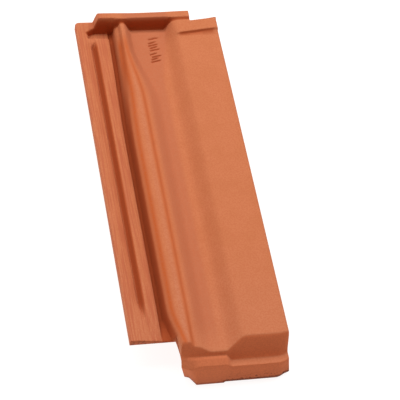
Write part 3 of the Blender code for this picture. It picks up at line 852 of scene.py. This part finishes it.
def plan_places(radius):
    """Places in plan of the grid's vertices, where the two sets of bent lines cross."""
    columns = splits(lines_across(np.array(0.5 * LENGTH), radius), CELLS_ACROSS)
    nominal = lines_along(np.array(RIDGE_X), radius)
    rows = splits(nominal, CELLS_ALONG)
    start = filled(nominal, rows)
    count = sum(columns) + 1
    y = np.repeat(np.array(start)[:, None], count, axis=1)
    for turn in range(CROSSING_TURNS):
        across = np.array(filled(lines_across(y, radius), columns))
        x = np.stack([across[column, :, column] for column in range(count)], axis=1)
        along_tile = np.array(filled(lines_along(x, radius), rows))
        y = np.stack([along_tile[row, row, :] for row in range(len(start))], axis=0)
    return x, y


def kept(x, y):
    """Whether the tile has clay at the middle of a mesh face."""
    beyond = (y < LOCK_END) & on_lock(x, y)
    return not (beyond or (x > LIP_END and y > CUT_Y + strip_line(x)))


def listed(*grids):
    """The values of the grids, in one row for each vertex."""
    return np.stack([grid.ravel() for grid in grids], axis=1).tolist()


def tile_sheet(x, y, relief):
    """Top of the tile as a shaped grid, cut to the tile's outline."""
    rows, columns = x.shape
    places = listed(x, y, PANEL_HEIGHT + relief_top(x, y, relief))
    tones = listed(
        ridge_tone(x, y), painted_shade_tone(x, y, relief), slope_tint_tone(x, y), face_tone(x, y), pale_and_highlight_tone(x, y)
    )
    bm = bmesh.new()
    bmesh.ops.create_grid(bm, x_segments=columns - 1, y_segments=rows - 1, size=0.5)
    number = bm.verts.layers.int.new("number")
    layers = [bm.verts.layers.float.new(name) for name in TONES]
    for index, vert in enumerate(bm.verts):
        vert[number] = index
        for layer, tone in zip(layers, tones[index]):
            vert[layer] = tone
        vert.co = places[index]
    outside = [face for face in bm.faces if not kept(*face.calc_center_median().xy)]
    bmesh.ops.delete(bm, geom=outside, context="FACES")
    return bm


def ridge_tone(x, y):
    """Strength of the two orange lines that run along the ridge; near the head the left one spreads over
    the flank as painted light.
    """
    step, step_end = body_places(y)[1:3]
    edge = shoulder_x(y)
    point = narrow(y)
    # Near the head the left line spreads over the flank as painted light
    width = LINE_WIDTH * (1.0 + HEAD_LINE_SPREAD * point)
    left = bump(x, edge + mix(LEFT_LINE, LEFT_LINE_HEAD, point), width)
    left *= smooth(x, *[edge - share * flank_run(y) for share in LINE_FLANK])
    right = bump(x, 0.5 * (step + step_end), LINE_WIDTH)
    return np.maximum(left, RIGHT_LINE_TONE * right) * (smooth(y, *LINE_START) * before_gutter(y))


def on_riser(x, y):
    """1 on the riser of the nose, between the ledge and the crease."""
    riser = window(y, foot_y(x) + FADE, crease_y(x) - FADE)
    return np.where(on_lock(x, y), 0.0, riser)


def painted_shade_tone(x, y, relief):
    """Strength of the painted shade: dark red in the channel, the groove and the strokes, on the sides of
    rim and rib, on the lip's wall, on the strip's front face and on the riser.
    """
    edge = shoulder_x(y)
    channel = smooth(x, channel_x(y) - FADE, channel_x(y) + WALL_RUN)
    channel *= 1.0 - smooth(x, edge - FADE, edge + 2.5 * FADE)
    channel *= window(y, LOCK_END, WALL_Y)
    flank = smooth(x, edge - flank_run(y), edge - HEAD_FLANK_START * flank_run(y))
    flank *= head_cutback(y) / HEAD_CUTBACK
    channel *= 1.0 - flank
    groove = window(x, *GROOVE_SIDES)
    groove = np.maximum(groove, RIM_TONE * window(x, *RIM_SIDES))
    groove *= groove_open(y)
    rib = RIB_TONE * window(x, *RIB_SIDES) * groove_open(y)
    wall = window(y - wall_lag(x), WALL_Y - FADE, LIP_Y - LIP_WALL_RUN * 0.4, 0.5 * FADE)
    wall *= window(x, GUTTER_START, LIP_END)
    edge_line = STRIP_Y + strip_line(x)
    strip = window(y, edge_line - STRIP_FACE, edge_line - 0.3 * STRIP_FACE, 0.3 * FADE)
    strip *= STRIP_TONE * window(x, PANEL_X + FADE, FLANGE_X - FLANGE_WIDTH, 3.0 * FADE)
    strokes = stamp_depth(x, y, relief.stamp_width)
    return np.maximum.reduce((channel, groove, rib, wall, strokes, RISER_TONE * on_riser(x, y), strip))


def slope_tint_tone(x, y):
    """Strength of the darker, pinker colour along the slope into the trough."""
    slope, trough, rise = body_places(y)[3:6]
    end = mix(mix(trough, rise, 0.3), rise, narrow(y))
    return window(x, mix(slope, trough, 0.3), end, SLOPE_TINT_WIDTH) * smooth(y, FOOT_Y, SLOPE_TINT_START)


def pale_and_highlight_tone(x, y):
    """Strength of the paler clay between the ridge's orange lines, and of a painted highlight along the
    rim's outer edge.
    """
    top, step = body_places(y)[:2]
    start, end = top + LINE_WIDTH, step - 0.5 * LINE_WIDTH
    stripe = window(x, start, np.maximum(end, start), 0.6 * LINE_WIDTH) * (1.0 - narrow(y))
    return np.maximum(stripe, EDGE_HIGHLIGHT * (1.0 - smooth(x, *EDGE_HIGHLIGHT_SIDES)))


def face_tone(x, y):
    """1 on the upright faces of the nose, its front and its riser, and partly on the ledge: redder clay
    that also paints the deep red of these faces in shade.
    """
    front = 1.0 - smooth(y, front_y(x), front_y(x) + FACE_FADE)
    ledge = LEDGE_TONE * left_of_panel(x) * (1.0 - smooth(y, foot_y(x), foot_y(x) + FACE_FADE))
    return np.where(on_lock(x, y), 0.0, np.maximum.reduce((front, on_riser(x, y), ledge)))


def span(verts, axis):
    """Lowest place of the vertices along an axis, and how far they reach from it."""
    places = [vert.co[axis] for vert in verts]
    return min(places), max(places) - min(places)


def only(items, kind):
    return [item for item in items if isinstance(item, kind)]


def thicken(bm, x, y, relief):
    """Extrudes the shaped sheet down to the underside, with both rims rounded."""
    under_x, under_y, under = under_places(x, y)
    under = PANEL_HEIGHT + under + edge_fall(outline_distance(x, y), relief.edge_radius)
    places = listed(under_x, under_y, under)
    number = bm.verts.layers.int["number"]
    layers = [bm.verts.layers.float[name] for name in TONES]
    face_layer = bm.verts.layers.float["faces"]
    under_side = bmesh.ops.extrude_face_region(bm, geom=list(bm.faces), use_keep_orig=True)["geom"]
    for vert in only(under_side, bmesh.types.BMVert):
        vert.co = places[vert[number]]
        for layer in layers:
            vert[layer] = 0.0
        vert[face_layer] = float(vert.co.y < NOSE_DRAFT + LEFT_CUT_DEPTH)
    bmesh.ops.recalc_face_normals(bm, faces=bm.faces)
    return only(under_side, bmesh.types.BMFace)


def add_nib(bm, under_faces, middle):
    """Extrudes a tapered hanging nib out of the flat rib under the head."""
    start, end = middle - 0.5 * NIB_WIDTH, middle + 0.5 * NIB_WIDTH
    chosen = []
    for face in under_faces:
        centre = face.calc_center_median()
        if start < centre.x < end and NIB_Y < centre.y < NIB_Y + NIB_LENGTH:
            chosen.append(face)
    tip = only(bmesh.ops.extrude_face_region(bm, geom=chosen)["geom"], bmesh.types.BMVert)
    bmesh.ops.delete(bm, geom=chosen, context="FACES")
    low, wide = span(tip, 0)
    near, deep = span(tip, 1)
    for vert in tip:
        across = mix(start + NIB_TAPER, end - NIB_TAPER, (vert.co.x - low) / wide)
        back = mix(NIB_Y, NIB_Y + NIB_LENGTH - NIB_TAPER, (vert.co.y - near) / deep)
        vert.co = (across, back, 0.0)
    return [face for face in under_faces if face.is_valid]


def join_flank_end(bm):
    """Joins the wall under the flank at the lock's end into one flat face."""
    end = np.array(LOCK_END)
    start = float(shoulder_x(end) - flank_run(end)) - SLACK
    wall = []
    for face in bm.faces:
        flat = all(abs(vert.co.y - LOCK_END) < SLACK for vert in face.verts)
        if flat and min(vert.co.x for vert in face.verts) > start:
            wall.append(face)
    bmesh.ops.dissolve_faces(bm, faces=wall, use_verts=False)


def roughen_nose(bm, relief):
    """Splits the nose's upright front and presses small pits and grain into it."""
    upright = []
    for edge in bm.edges:
        a, b = edge.verts
        tall = abs(a.co.z - b.co.z) > UPRIGHT_RISE
        if tall and max(a.co.y, b.co.y) < NOSE_DRAFT + UPRIGHT_DEPTH and edge.is_manifold:
            upright.append(edge)
    split = bmesh.ops.subdivide_edges(bm, edges=upright, cuts=NOSE_CUTS, use_grid_fill=True)
    for vert in only(split["geom_inner"], bmesh.types.BMVert):
        place = vert.co
        low = 1.0 - float(smooth(place.z, *PIT_TOP))
        right = float(smooth(place.x, *PIT_SIDE))
        fine = (place.x * ROUGH_SCALE, place.z * ROUGH_SCALE)
        grain = noise.noise(Vector(fine + (GRAIN_LAYER,)))
        pit = max(noise.noise(Vector(fine + (PIT_LAYER,))) - PIT_LEVEL, 0.0)
        inside = float(smooth(place.x, LEFT_FOOT_X, LEFT_FOOT_X + LEFT_CUT_WIDTH))
        place.y += inside * relief.grain * grain * mix(GRAIN_LEFT, 1.0, right)
        place.y += relief.pit_depth * pit * low * right * PIT_GAIN


def half_tile_mesh(relief):
    x, y = plan_places(relief.edge_radius)
    bm = tile_sheet(x, y, relief)
    under_faces = thicken(bm, x, y, relief)
    for middle in (NIB_LEFT, NIB_RIGHT):
        under_faces = add_nib(bm, under_faces, middle)
    join_flank_end(bm)
    roughen_nose(bm, relief)
    tall = [face for face in bm.faces if span(face.verts, 2)[1] > TALL_FACE]
    bmesh.ops.triangulate(bm, faces=tall, quad_method="SHORT_EDGE", ngon_method="EAR_CLIP")
    bmesh.ops.translate(bm, verts=bm.verts, vec=(-0.5 * WIDTH, -0.5 * LENGTH, 0.0))
    for face in bm.faces:
        face.smooth = True
    mesh = bpy.data.meshes.new("half_tile_clay")
    bm.to_mesh(mesh)
    bm.free()
    mesh.set_sharp_from_angle(angle=SHARP_ANGLE)
    return mesh


def sum_node(operation, reflected=False):
    """A method that joins two values in a Math node, in the order that they are written."""
    def join(self, other):
        first, second = (other, self) if reflected else (self, other)
        return self.shade.node("ShaderNodeMath", {"operation": operation}, {0: first, 1: second})
    return join


class Value:
    """A shader socket that takes part in sums written as Python expressions."""

    def __init__(self, shade, socket):
        self.shade = shade
        self.socket = socket

    __add__, __radd__ = sum_node("ADD"), sum_node("ADD", True)
    __sub__, __rsub__ = sum_node("SUBTRACT"), sum_node("SUBTRACT", True)
    __mul__, __rmul__ = sum_node("MULTIPLY"), sum_node("MULTIPLY", True)


class Shade:
    """The node tree of one material."""

    def __init__(self, name):
        self.material = bpy.data.materials.new(name)
        self.material.use_nodes = True
        self.tree = self.material.node_tree

    def feed(self, node, inputs):
        """Gives a node the values or links of its sockets."""
        for key, value in inputs.items():
            if isinstance(value, Value):
                self.tree.links.new(value.socket, node.inputs[key])
            else:
                node.inputs[key].default_value = value

    def node(self, kind, settings, inputs, output=0):
        """Adds a node with its settings and the values or links of its sockets."""
        node = self.tree.nodes.new(kind)
        for name, setting in settings.items():
            setattr(node, name, setting)
        self.feed(node, inputs)
        return Value(self, node.outputs[output])

    def finish(self, inputs):
        """Feeds the material's own shader and gives the material back."""
        self.feed(self.tree.nodes["Principled BSDF"], inputs)
        return self.material

    def blend(self, factor, first, second):
        """Goes from the first colour to the second."""
        return self.node("ShaderNodeMix", {"data_type": "RGBA"}, {0: factor, 6: first, 7: second}, 2)

    def ramp(self, value, start, end):
        """Goes from 0 to 1 as the value goes from start to end."""
        ends = {"Value": value, "From Min": start, "From Max": end}
        return self.node("ShaderNodeMapRange", {"interpolation_type": "SMOOTHSTEP"}, ends)

    def noise(self, vector, scale, detail):
        return self.node("ShaderNodeTexNoise", {}, {"Vector": vector, "Scale": scale, "Detail": detail})

    def pattern(self, vector, scale, detail, start, end):
        """A noise, and its patches between two levels."""
        plain = self.noise(vector, scale, detail)
        return plain, self.ramp(plain, start, end)


def clay_material(clay, relief):
    """Fired clay: orange lines along the ridge and drawn streaks on the lock, with painted shade in the
    hollows, low on the nose's front and on the lock's end face, and a painted highlight along the rim's
    outer edge.
    """
    shade = Shade("fired_clay_looks")
    place = shade.node("ShaderNodeTexCoord", {}, {}, 3)
    apart = shade.node("ShaderNodeSeparateXYZ", {}, {"Vector": place})
    x = apart + 0.5 * WIDTH
    y = Value(shade, apart.socket.node.outputs[1]) + 0.5 * LENGTH
    z = Value(shade, apart.socket.node.outputs[2])
    lines, painted_shade, slope_tint, faces, pale_and_highlight = [
        shade.node("ShaderNodeAttribute", {"attribute_name": name}, {}, 2) for name in TONES
    ]
    stretched = shade.node("ShaderNodeMapping", {}, {"Vector": place, "Scale": STREAK_STRETCH})
    streak, drawn = shade.pattern(stretched, *STREAKS)
    speckle, grain = shade.pattern(place, *SPECKLES)
    cloud, coarse, pits = [shade.pattern(place, *kind)[1] for kind in (CLOUDS, COARSE_GRAIN, PITS)]
    lock = 1.0 - shade.ramp(x, *LOCK_CLAY)
    nose = 1.0 - shade.ramp(y, *NOSE_CLAY)
    front = 1.0 - shade.ramp(y, *FRONT_CLAY)
    right = shade.ramp(x, *PITTED_SIDE)
    over_foot = z - shade.ramp(x, FOOT_STEP_X, FOOT_STEP_X + FOOT_STEP_WIDTH) * FOOT_STEP
    # Painted shade along the nose's lower edge and darkening its front towards the foot
    foot = (1.0 - shade.ramp(over_foot, *FOOT_SHADE)) * front
    low = (1.0 - shade.ramp(over_foot, *LOW_SHADE)) * front
    # Painted shade and pit specks on the lock's end face, which faces the nose
    lock_end = (1.0 - shade.ramp(y, *LOCK_FACE)) * (1.0 - shade.ramp(x, *LOCK_FACE_SIDE))
    layers = (
        (cloud, clay.body_pale),
        # Pinker clay towards the nose and between the ridge lines, and a painted highlight along the rim's
        # outer edge
        ((nose + pale_and_highlight) * NOSE_SHARE, clay.nose),
        # Darker, pinker colour on the slope into the trough
        (slope_tint * SLOPE_TINT_SHARE, clay.slope_tint),
        # Orange lines along the ridge; near the head the left one also paints light onto the flank
        (lines, clay.ridge_line),
        (lock * drawn * STREAK_SHARE, clay.streak),
        # Redder clay on the nose's faces, which also paints their deep red in shade
        (faces * FACE_SHARE, clay.face),
        # Painted shade: darker low on the nose's front, in small pits there and along its lower edge
        (low * LOW_SHADE_SHARE, clay.streak),
        (low * right * pits * PIT_SHARE, clay.foot),
        (foot * (FOOT_LEFT + (1.0 - FOOT_LEFT) * right), clay.foot),
        # Painted shade on the lock's end face, with pit specks of painted shade
        (lock_end * LOCK_FACE_SHARE, clay.shade_colour),
        (lock_end * pits, clay.foot),
        (grain * clay.grain_strength, clay.grain),
        (coarse * (clay.grain_strength * COARSE_GAIN), clay.grain),
        # Painted shade in the hollows and strokes, on the lip's wall, the strip's face and the riser
        (painted_shade * clay.shade_strength, clay.shade_colour),
    )
    body = clay.body
    for share, tint in layers:
        body = shade.blend(share, body, tint)
    surface = streak * lock * STREAK_BUMP + speckle * SPECKLE_BUMP + shade.noise(place, *SKIN) * SKIN_BUMP
    bumps = {"Strength": 1.0, "Distance": relief.bump_depth, "Height": surface}
    return shade.finish({
        "Base Color": body,
        "Roughness": clay.roughness,
        "Specular IOR Level": clay.gloss,
        "Normal": shade.node("ShaderNodeBump", {}, bumps),
    })


def size(name, description, default, low, high):
    """A length that a user may change."""
    return bpy.props.FloatProperty(
        name=name, description=description, default=default, min=low, max=high,
        precision=5, subtype="DISTANCE", unit="LENGTH",
    )


def colour(name, description, default):
    return bpy.props.FloatVectorProperty(
        name=name, description=description, default=default + (1.0,), size=4, min=0.0, max=1.0,
        subtype="COLOR",
    )


def factor(name, description, default, high=1.0):
    return bpy.props.FloatProperty(
        name=name, description=description, default=default, min=0.0, max=high, subtype="FACTOR",
    )


class TileRelief(bpy.types.PropertyGroup):
    edge_radius: size("Edge radius", "Rounding of the tile's outer edges", 0.0009, 0.0002, 0.0012)
    crease_radius: size("Crease radius", "Rounding of the pressed creases", 0.0006, 0.0001, 0.0015)
    stamp_depth: size("Stroke depth", "Depth of the stamped strokes", 0.0014, 0.0, 0.002)
    stamp_width: size("Stroke half width", "Half the width of a stamped stroke", 0.0009, 0.0003, 0.002)
    drawn_depth: size("Drawn line depth", "Depth of the lines drawn along rim and rib", 0.0003, 0.0, 0.001)
    drawn_width: size("Drawn line half width", "Half the width of those lines", 0.0007, 0.0003, 0.002)
    unevenness: size("Unevenness", "Height of the surface's slow waves", 0.00015, 0.0, 0.001)
    grain: size("Nose grain", "Roughness of the nose's front", 0.00022, 0.0, 0.001)
    pit_depth: size("Pit depth", "Depth of the pits low on the nose's front", 0.0011, 0.0, 0.003)
    bump_depth: size("Skin grain", "Height of the clay's fine grain", 0.00026, 0.0, 0.001)


class TileClay(bpy.types.PropertyGroup):
    body: colour("Clay", "Main colour of the fired clay", (0.555, 0.197, 0.083))
    body_pale: colour("Pale clay", "Paler clouds in the clay", (0.58, 0.209, 0.092))
    # Also paints a highlight along the rim's outer edge
    nose: colour("Nose clay", "Pinker clay towards the nose", (0.57, 0.225, 0.118))
    # Redder clay that also paints the deep red of the nose's faces in shade
    face: colour("Nose face", "Redder clay on the nose's face, ledge and riser", (0.65, 0.182, 0.069))
    # Near the head these lines also paint light onto the flank
    ridge_line: colour("Ridge lines", "Orange lines along the ridge", (0.51, 0.108, 0.02))
    # A darker, pinker colour on the slope into the trough
    slope_tint: colour("Bloom", "Pinker clay on the slope into the trough", (0.49, 0.165, 0.08))
    # Painted shade: the dark red of the hollows, the lip's wall, the strip's face, the riser and the
    # lock's end face in shade
    shade_colour: colour("Hollows", "Dark reddish clay in groove and channel", (0.38, 0.075, 0.018))
    shade_strength: factor("Hollow strength", "How strongly the hollows darken", 0.95)
    # Also paints the shade low on the nose's front
    streak: colour("Streaks", "Drawn streaks on the lock", (0.47, 0.13, 0.062))
    # Painted shade along the nose's lower edge and in small pits on its front and on the lock's end face
    foot: colour("Foot edge", "Dark lower edge of the nose", (0.10, 0.03, 0.018))
    grain: colour("Grain", "Fine dark grain", (0.50, 0.145, 0.06))
    grain_strength: factor("Grain strength", "How strongly the fine grain shows", 0.28)
    roughness: factor("Roughness", "Roughness of the clay", 0.88)
    gloss: factor("Gloss", "Strength of the clay's faint sheen", 0.25)


class TileStage(bpy.types.PropertyGroup):
    floor: colour("Floor", "Colour of the plain floor", (0.25, 0.25, 0.25))
    glow: factor("Floor glow", "Even light given off by the floor", 0.90, 2.0)
    warmth: colour("Surrounding colour", "Colour of the even light from all around", (1.0, 0.66, 0.52))
    sky: factor("Surrounding light", "Strength of the even light from all around", 0.38, 5.0)
    key: bpy.props.FloatProperty(
        name="Overhead light", description="Power of the large light overhead", default=104.0,
        min=0.0, max=1000.0, unit="POWER",
    )
    key_width: size("Overhead light width", "Width of the light across the tile", 7.0, 0.1, 9.0)
    key_depth: size("Overhead light depth", "Depth of the light along the tile", 1.2, 0.1, 5.0)


class HALFTILE_OT_tile(bpy.types.Operator):
    """Builds the clay tile in place of the plain solid"""
    bl_idname = "halftile.tile"
    bl_label = "Clay tile"

    def execute(self, context):
        relief = context.scene.halftile_relief
        tile = bpy.data.objects.new("half_tile_clay", half_tile_mesh(relief))
        context.scene.collection.objects.link(tile)
        tile.data.materials.append(clay_material(context.scene.halftile_clay, relief))
        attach(tile, "root")
        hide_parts("half_tile")
        return {"FINISHED"}


class HALFTILE_OT_stage(bpy.types.Operator):
    """Adds the plain floor, the soft light and the camera"""
    bl_idname = "halftile.stage"
    bl_label = "Stage"

    def execute(self, context):
        stage = context.scene.halftile_stage
        add_floor(context.scene, stage)
        add_light(context.scene, stage)
        add_camera(context.scene)
        context.scene.view_settings.view_transform = "Standard"
        return {"FINISHED"}


class HALFTILE_PT_panel(bpy.types.Panel):
    """Lists the sizes, the colours and the steps"""
    bl_idname = "HALFTILE_PT_panel"
    bl_label = "Half tile"
    bl_space_type = "VIEW_3D"
    bl_region_type = "UI"
    bl_category = "Half tile"

    def draw(self, context):
        for name, group in GROUPS:
            box = self.layout.box()
            for entry in group.__annotations__:
                box.prop(getattr(context.scene, name), entry)
        for step in (HALFTILE_OT_tile, HALFTILE_OT_stage):
            self.layout.operator(step.bl_idname)


def add_floor(scene, stage):
    """A wide plain floor that the tile stands on."""
    mesh = bpy.data.meshes.new("stage_floor")
    bm = bmesh.new()
    bmesh.ops.create_grid(bm, x_segments=1, y_segments=1, size=FLOOR_HALF)
    bm.to_mesh(mesh)
    bm.free()
    floor = bpy.data.objects.new("stage_floor", mesh)
    scene.collection.objects.link(floor)
    mesh.materials.append(Shade("stage_paper").finish({
        "Base Color": stage.floor,
        "Roughness": 1.0,
        "Specular IOR Level": 0.0,
        "Emission Color": (1.0, 1.0, 1.0, 1.0),
        "Emission Strength": stage.glow,
    }))


def add_light(scene, stage):
    """Even light from all around and a large soft light overhead."""
    world = bpy.data.worlds.new("stage_world")
    world.use_nodes = True
    back = world.node_tree.nodes["Background"]
    back.inputs["Color"].default_value = stage.warmth
    back.inputs["Strength"].default_value = stage.sky
    scene.world = world
    light = bpy.data.lights.new("stage_key", "AREA")
    light.shape = "RECTANGLE"
    light.size = stage.key_width
    light.size_y = stage.key_depth
    light.energy = stage.key
    key = bpy.data.objects.new("stage_key", light)
    scene.collection.objects.link(key)
    key.location = KEY_PLACE
    key.rotation_euler = Vector(KEY_PLACE).to_track_quat("Z", "Y").to_euler()


def add_camera(scene):
    """The photo's view: from the left front, well above the tile."""
    lens = bpy.data.cameras.new("stage_camera")
    lens.lens = CAMERA_LENS
    lens.sensor_width = CAMERA_SENSOR
    lens.clip_end = CAMERA_REACH
    camera = bpy.data.objects.new("stage_camera", lens)
    scene.collection.objects.link(camera)
    turn = Matrix(CAMERA_AXES).transposed().to_4x4()
    camera.matrix_world = Matrix.Translation(CAMERA_PLACE) @ turn
    scene.camera = camera


GROUPS = (
    ("halftile_relief", TileRelief),
    ("halftile_clay", TileClay),
    ("halftile_stage", TileStage),
)
CLASSES = (HALFTILE_OT_tile, HALFTILE_OT_stage, HALFTILE_PT_panel)


def register():
    for name, group in GROUPS:
        bpy.utils.register_class(group)
        setattr(bpy.types.Scene, name, bpy.props.PointerProperty(type=group))
    for entry in CLASSES:
        bpy.utils.register_class(entry)


def unregister():
    for entry in reversed(CLASSES):
        bpy.utils.unregister_class(entry)
    for name, group in reversed(GROUPS):
        delattr(bpy.types.Scene, name)
        bpy.utils.unregister_class(group)


def main():
    register()
    bpy.ops.halftile.tile()
    bpy.ops.halftile.stage()


if __name__ == "__main__":
    main()
